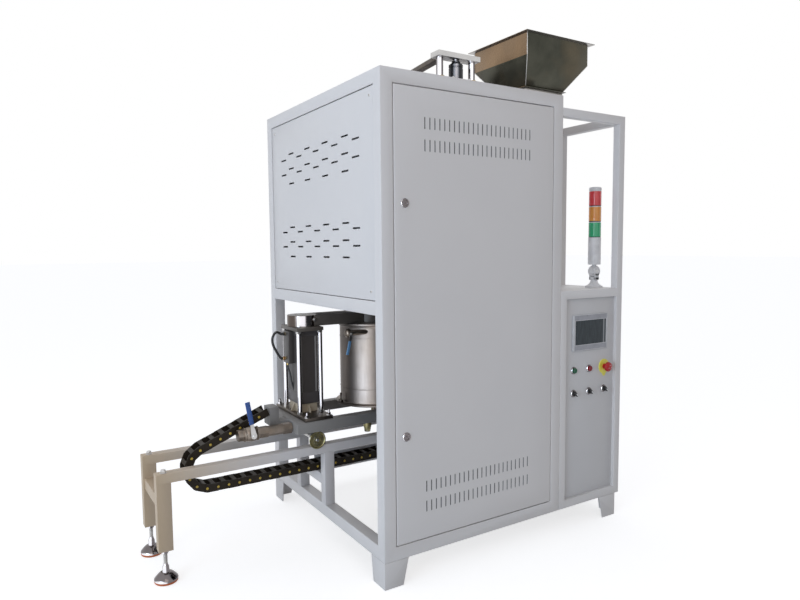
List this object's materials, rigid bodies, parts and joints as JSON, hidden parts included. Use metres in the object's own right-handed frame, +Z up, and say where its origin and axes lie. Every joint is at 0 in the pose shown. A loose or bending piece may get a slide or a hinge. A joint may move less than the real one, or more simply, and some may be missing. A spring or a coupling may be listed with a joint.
{
  "type": "frit melting furnace",
  "caption": "Tall cabinet furnace with a roof hopper, a control tower with signal light, a side track with a quench cart, and a bottom-outlet crucible inside.",
  "frame": {"origin": "centre of the part's bounding box in plan, on the floor plane", "axes": "+Z up; +X to the right along the front, from the cart's track to the control tower; +Y from the front to the back"},
  "size_m": [1.792, 1.002, 1.925],
  "materials": {
    "powder_coat": "fine textured light grey powder coat",
    "track_coat": "warm grey powder coat",
    "grey_coat": "mid grey paint",
    "stainless": "brushed to bright stainless",
    "chrome": "polished",
    "zinc": "yellow zinc plated, olive",
    "dark_steel": "dark, slightly oiled",
    "black_plastic": "satin black",
    "light_plastic": "light grey, satin",
    "screen_glass": "glossy dark screen",
    "green_plastic": "translucent green",
    "red_plastic": "red",
    "amber_plastic": "translucent amber",
    "blue_plastic": "blue dipped sleeve",
    "refractory": "chalky, light",
    "crucible_clay": "matte fired clay",
    "heater_rod": "dark grey ceramic rod"
  },
  "bodies": {
    "frame": {"main_frame": "powder_coat", "left_panel": "powder_coat", "right_panel": "powder_coat", "back_panel": "powder_coat", "top_panel": "powder_coat", "foot_front_left": "powder_coat", "foot_back_left": "powder_coat", "foot_back_right": "powder_coat", "foot_front_right": "powder_coat", "tower_frame": "powder_coat", "console_box": "powder_coat", "control_panel": "powder_coat", "hmi_housing": "light_plastic", "hmi_screen": "screen_glass", "light_base": "light_plastic", "hopper": "stainless", "feeder_housing": "stainless", "feeder_motor": "dark_steel", "stopper_cylinder": "black_plastic", "furnace_shell": "powder_coat", "furnace_lining": "refractory", "furnace_cover": "refractory", "crucible": "crucible_clay", "heater_left": "heater_rod", "heater_right": "heater_rod", "thermocouple": "dark_steel", "track_frame": "track_coat", "cable_chain": "black_plastic"},
    "door": {"front_door": "powder_coat"},
    "lock_upper": {"lock_upper": "chrome"},
    "lock_lower": {"lock_lower": "chrome"},
    "start_button": {"start_button": "green_plastic"},
    "stop_button": {"stop_button": "red_plastic"},
    "estop": {"estop_head": "red_plastic"},
    "selector_left": {"selector_left": "black_plastic"},
    "selector_middle": {"selector_middle": "black_plastic"},
    "selector_right": {"selector_right": "black_plastic"},
    "light": {"light_body": "light_plastic", "lens_green": "green_plastic", "lens_amber": "amber_plastic", "lens_red": "red_plastic"},
    "crosshead": {"crosshead": "dark_steel", "stopper_rod": "crucible_clay"},
    "feed_screw": {"feed_screw": "stainless"},
    "levelling_foot_near": {"levelling_foot_near": "chrome"},
    "levelling_foot_far": {"levelling_foot_far": "chrome"},
    "cart": {"cart_frame": "grey_coat", "quench_bucket": "stainless", "lift_frame": "dark_steel", "lift_barrel": "black_plastic", "drain_pipe": "stainless", "overflow_valve": "stainless", "air_hose": "black_plastic"},
    "lift": {"lift_arm": "stainless", "bucket_cover": "stainless"},
    "wheelset_left": {"wheelset_left": "zinc"},
    "wheelset_right": {"wheelset_right": "zinc"},
    "latch": {"bucket_latch": "dark_steel"},
    "drain_handle": {"drain_handle": "blue_plastic"},
    "overflow_handle": {"overflow_handle": "blue_plastic"}
  },
  "joints": [
    {"name": "door_hinge", "type": "hinge", "parent": "frame", "child": "door", "pos_m": [0.488, -0.474, 0.14], "axis": [0, 0, 1], "range_deg": [0, 105]},
    {"name": "lock_upper_turn", "type": "hinge", "parent": "door", "child": "lock_upper", "pos_m": [-0.17, -0.48, 1.278], "axis": [0, 1, 0], "range_deg": [0, 90]},
    {"name": "lock_lower_turn", "type": "hinge", "parent": "door", "child": "lock_lower", "pos_m": [-0.17, -0.48, 0.507], "axis": [0, 1, 0], "range_deg": [0, 90]},
    {"name": "start_button_press", "type": "slide", "parent": "frame", "child": "start_button", "axis": [0, 1, 0], "range_m": [0, 0.004], "stiffness_N_per_m": 400, "springref_m": -0.002},
    {"name": "stop_button_press", "type": "slide", "parent": "frame", "child": "stop_button", "axis": [0, 1, 0], "range_m": [0, 0.004], "stiffness_N_per_m": 400, "springref_m": -0.002},
    {"name": "estop_press", "type": "slide", "parent": "frame", "child": "estop", "axis": [0, 1, 0], "range_m": [0, 0.005]},
    {"name": "selector_left_turn", "type": "hinge", "parent": "frame", "child": "selector_left", "pos_m": [0.63165, -0.466, 0.547], "axis": [0, 1, 0], "range_deg": [0, 90]},
    {"name": "selector_middle_turn", "type": "hinge", "parent": "frame", "child": "selector_middle", "pos_m": [0.71965, -0.466, 0.547], "axis": [0, 1, 0], "range_deg": [0, 90]},
    {"name": "selector_right_turn", "type": "hinge", "parent": "frame", "child": "selector_right", "pos_m": [0.80765, -0.466, 0.547], "axis": [0, 1, 0], "range_deg": [0, 90]},
    {"name": "light_fold", "type": "hinge", "parent": "frame", "child": "light", "pos_m": [0.849, -0.372, 1.0283], "axis": [0, 1, 0], "range_deg": [0, 90]},
    {"name": "stopper_lift", "type": "slide", "parent": "frame", "child": "crosshead", "axis": [0, 0, 1], "range_m": [0, 0.08]},
    {"name": "feed_screw_spin", "type": "hinge", "parent": "frame", "child": "feed_screw", "pos_m": [0.5475, -0.2945, 1.7208], "axis": [-0.7519, 0.6593, 0], "continuous": true},
    {"name": "levelling_foot_near_turn", "type": "hinge", "parent": "frame", "child": "levelling_foot_near", "pos_m": [-0.856, -0.012, 0], "axis": [0, 0, 1], "continuous": true},
    {"name": "levelling_foot_far_turn", "type": "hinge", "parent": "frame", "child": "levelling_foot_far", "pos_m": [-0.856, 0.228, 0], "axis": [0, 0, 1], "continuous": true},
    {"name": "cart_slide", "type": "slide", "parent": "frame", "child": "cart", "axis": [1, 0, 0], "range_m": [-0.5, 0.08], "deforming": ["cable_chain"]},
    {"name": "lift_rise", "type": "slide", "parent": "cart", "child": "lift", "axis": [0, 0, 1], "range_m": [0, 0.025]},
    {"name": "wheelset_left_spin", "type": "hinge", "parent": "cart", "child": "wheelset_left", "pos_m": [-0.29, 0.108, 0.4033], "axis": [0, 1, 0], "range_deg": [-1200, 200]},
    {"name": "wheelset_right_spin", "type": "hinge", "parent": "cart", "child": "wheelset_right", "pos_m": [0.141, 0.108, 0.4033], "axis": [0, 1, 0], "range_deg": [-1200, 200]},
    {"name": "latch_turn", "type": "hinge", "parent": "cart", "child": "latch", "pos_m": [-0.116, 0.108, 0.5053], "axis": [0, -1, 0], "range_deg": [0, 90]},
    {"name": "drain_handle_turn", "type": "hinge", "parent": "cart", "child": "drain_handle", "pos_m": [-0.534, -0.0208, 0.455], "axis": [0, 1, 0], "range_deg": [0, 90]},
    {"name": "overflow_handle_turn", "type": "hinge", "parent": "cart", "child": "overflow_handle", "pos_m": [-0.129, -0.0188, 0.798], "axis": [0, 1, 0], "range_deg": [0, 90]}
  ],
  "couplings": [
    {"joint": "wheelset_left_spin", "follows": "cart_slide", "rad_per_m": 41.667},
    {"joint": "wheelset_right_spin", "follows": "cart_slide", "rad_per_m": 41.667}
  ]
}
